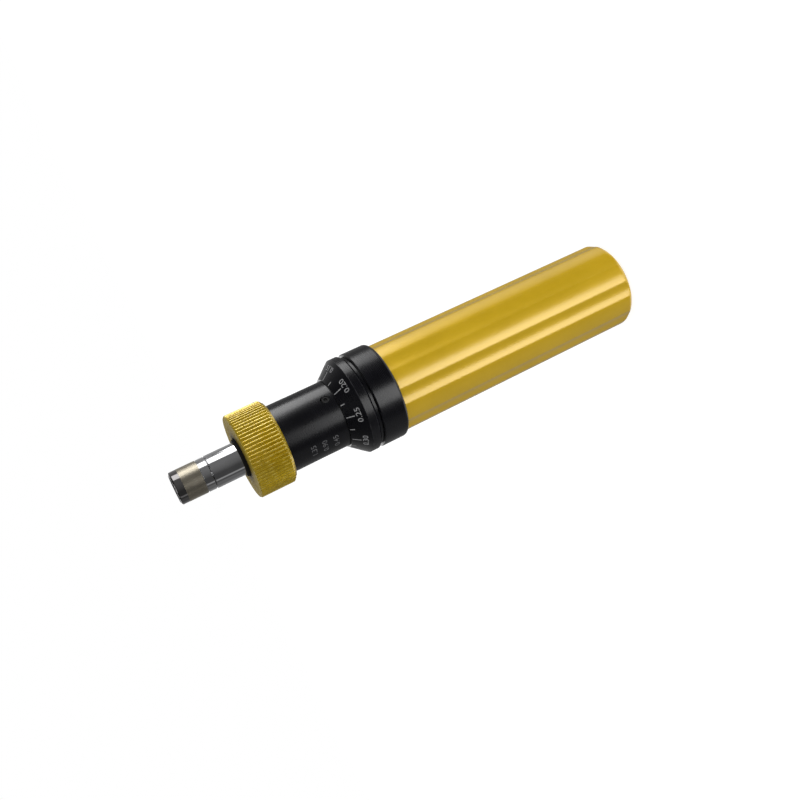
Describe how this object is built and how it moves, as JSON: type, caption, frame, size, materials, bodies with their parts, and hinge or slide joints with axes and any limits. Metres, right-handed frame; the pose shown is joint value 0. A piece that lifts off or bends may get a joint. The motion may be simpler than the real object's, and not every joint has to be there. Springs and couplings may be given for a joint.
{
  "type": "torque screwdriver",
  "caption": "Adjustable torque-limiting screwdriver with fluted grip, conical dial, scale barrel, knurled lock ring and quick-release hexagon chuck.",
  "frame": {"origin": "centre of the butt face, on which the tool stands", "axes": "+Z along the tool's axis from the butt to the tip; the side with the visible key screw and the scale numbers faces -Y"},
  "size_m": [0.0358, 0.0356, 0.181],
  "materials": {
    "gold_anodised": "satin gold anodised",
    "black_anodised": "satin black anodised",
    "chrome": "polished chrome plate",
    "steel": "machined and hardened steel",
    "spring_steel": "oiled spring steel",
    "bronze": "machined bronze",
    "seal_rubber": "moulded rubber"
  },
  "bodies": {
    "handle": {"grip": "gold_anodised", "end_plug": "black_anodised", "calibration_screw": "steel", "lock_nut": "steel", "thread_sleeve": "bronze", "thread_grub_screws": "steel", "collar": "black_anodised", "dial_ring": "black_anodised", "dial_grub_screws": "steel"},
    "spring_end": {"spring_seat": "steel", "thrust_ball": "steel", "main_spring": "spring_steel"},
    "clutch_body": {"clutch_housing": "steel", "key_screw_1": "steel", "key_screw_2": "steel", "front_bush": "bronze", "dust_seal": "seal_rubber", "nose_clip": "spring_steel", "thrust_race_front": "steel", "thrust_balls": "steel", "thrust_cage": "bronze", "clutch_plunger": "steel", "clutch_balls": "steel"},
    "output": {"output_shaft": "chrome", "thrust_race_rear": "steel", "chuck_spring": "spring_steel", "chuck_clip": "spring_steel"},
    "release_sleeve": {"chuck_sleeve": "chrome"},
    "bit_detent": {"detent_ball": "steel"},
    "barrel": {"scale_sleeve": "black_anodised"},
    "lock_nut_ring": {"lock_ring": "gold_anodised"}
  },
  "joints": [
    {"name": "set_turn", "type": "hinge", "parent": "handle", "child": "spring_end", "pos_m": [0, 0, 0.0232], "axis": [0, 0, 1], "range_deg": [-1440, 0]},
    {"name": "set_slide", "type": "slide", "parent": "spring_end", "child": "clutch_body", "axis": [0, 0, 1], "range_m": [-0.0168, 0], "deforming": ["main_spring"]},
    {"name": "output_turn", "type": "hinge", "parent": "clutch_body", "child": "output", "pos_m": [0, 0, 0.14], "axis": [0, 0, 1], "continuous": true},
    {"name": "release_slide", "type": "slide", "parent": "output", "child": "release_sleeve", "axis": [0, 0, 1], "range_m": [0, 0.002], "stiffness_N_per_m": 1000, "deforming": ["chuck_spring"]},
    {"name": "detent_slide", "type": "slide", "parent": "output", "child": "bit_detent", "axis": [0, 1, 0], "range_m": [0, 0.00045]},
    {"name": "lock_slide", "type": "slide", "parent": "clutch_body", "child": "barrel", "axis": [0, 0, 1], "range_m": [-0.0004, 0]},
    {"name": "lock_turn", "type": "hinge", "parent": "barrel", "child": "lock_nut_ring", "pos_m": [0, 0, 0.15], "axis": [0, 0, 1], "range_deg": [-96, 0]}
  ],
  "couplings": [
    {"joint": "set_slide", "follows": "set_turn", "m_per_rad": 0.00066845},
    {"joint": "detent_slide", "follows": "release_slide", "ratio": 0.225},
    {"joint": "lock_slide", "follows": "lock_turn", "m_per_rad": 0.00023873}
  ]
}
